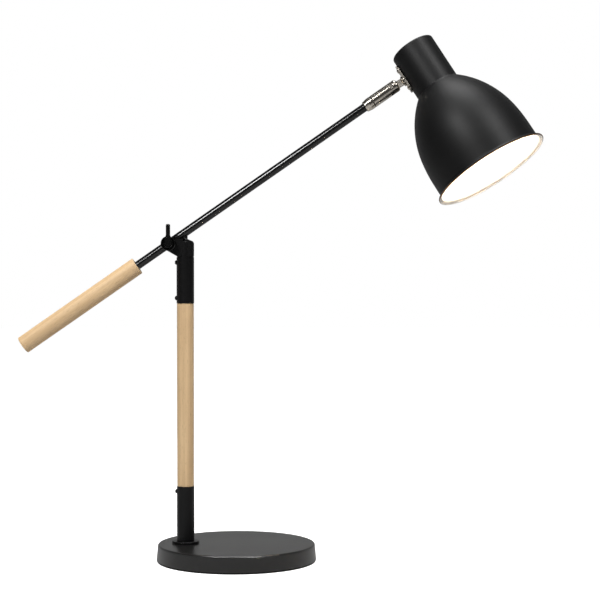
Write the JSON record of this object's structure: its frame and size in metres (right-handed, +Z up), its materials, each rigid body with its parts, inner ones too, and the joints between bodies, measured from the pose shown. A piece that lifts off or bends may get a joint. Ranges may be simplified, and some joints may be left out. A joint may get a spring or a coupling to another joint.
{
  "type": "counterweight balance desk lamp",
  "caption": "Desk lamp: round weighted base, post of steel sleeves and a wooden dowel, tilting arm with a wooden counterweight and lever knob, and a bell shade on a swivel knuckle.",
  "frame": {"origin": "centre of the round base's underside, on the surface it stands on", "axes": "+Z up along the post, +X towards the shade, -Y towards the clamp knob; shown with the arm raised and the lever up"},
  "size_m": [0.613, 0.1991, 0.6178],
  "materials": {
    "black_paint": "satin black powder coat",
    "shade_paint": "satin black powder coat outside, white enamel inside",
    "cast_iron": "rough casting",
    "dark_rubber": "matte sheet",
    "plated_steel": "zinc plate",
    "black_plastic": "moulded",
    "pale_wood": "fine straight grain, clear matte lacquer",
    "black_screw": "black oxide",
    "black_knob": "black enamel on a die casting",
    "black_lead": "smooth sheath",
    "lead_core": "smooth insulation",
    "satin_nickel": "satin nickel plate",
    "brass": "bare",
    "holder_plastic": "moulded",
    "lamp_cap": "bare spun shell",
    "lamp_white": "moulded",
    "lamp_opal": "opal diffuser"
  },
  "bodies": {
    "stand": {"base_cover": "black_paint", "base_weight": "cast_iron", "base_pad": "dark_rubber", "base_washer": "plated_steel", "base_nut": "plated_steel", "cord_bush": "black_plastic", "post_stud": "plated_steel", "post_foot": "black_paint", "lower_sleeve": "black_paint", "post_dowel": "pale_wood", "upper_sleeve": "black_paint", "sleeve_screws": "black_screw", "head_fork": "black_paint", "pivot_bolt": "black_screw", "knob_washer": "black_screw", "post_lead": "black_lead", "pivot_lead": "black_lead"},
    "knob": {"clamp_knob": "black_knob", "knob_nut": "plated_steel"},
    "arm": {"arm_rod": "black_paint", "saddle_washers": "black_plastic", "counterweight": "pale_wood", "weight_core": "plated_steel", "weight_bush": "black_plastic", "knuckle_collar": "satin_nickel", "collar_screw": "black_screw", "swivel_washer": "black_plastic", "swivel_stud": "plated_steel", "arm_lead": "black_lead"},
    "knuckle": {"knuckle_barrel": "satin_nickel", "barrel_ring": "brass", "hinge_screws": "satin_nickel"},
    "shade": {"knuckle_tongue": "satin_nickel", "mounting_plate": "satin_nickel", "plate_screws": "satin_nickel", "shade_shell": "shade_paint", "holder_bracket": "plated_steel", "holder_nipple": "plated_steel", "holder_nut": "plated_steel", "holder_cap": "holder_plastic", "holder_body": "holder_plastic", "holder_contacts": "brass", "bulb_cap": "lamp_cap", "bulb_body": "lamp_white", "bulb_dome": "lamp_opal", "shade_lead": "lead_core"}
  },
  "joints": [
    {"name": "arm_tilt", "type": "hinge", "parent": "stand", "child": "arm", "pos_m": [-0.079, 0, 0.3738], "axis": [0, -1, 0], "range_deg": [-45, 45], "deforming": ["pivot_lead"]},
    {"name": "clamp_turn", "type": "hinge", "parent": "stand", "child": "knob", "pos_m": [-0.079, 0, 0.3738], "axis": [0, -1, 0], "range_deg": [-90, 90]},
    {"name": "knuckle_swivel", "type": "hinge", "parent": "arm", "child": "knuckle", "pos_m": [0.18262, 0, 0.55563], "axis": [0.8211, 0, 0.5707], "range_deg": [-150, 150]},
    {"name": "shade_tilt", "type": "hinge", "parent": "knuckle", "child": "shade", "pos_m": [0.18262, 0, 0.55563], "axis": [0.1429, 0.9681, -0.2056], "range_deg": [-60, 60]}
  ]
}
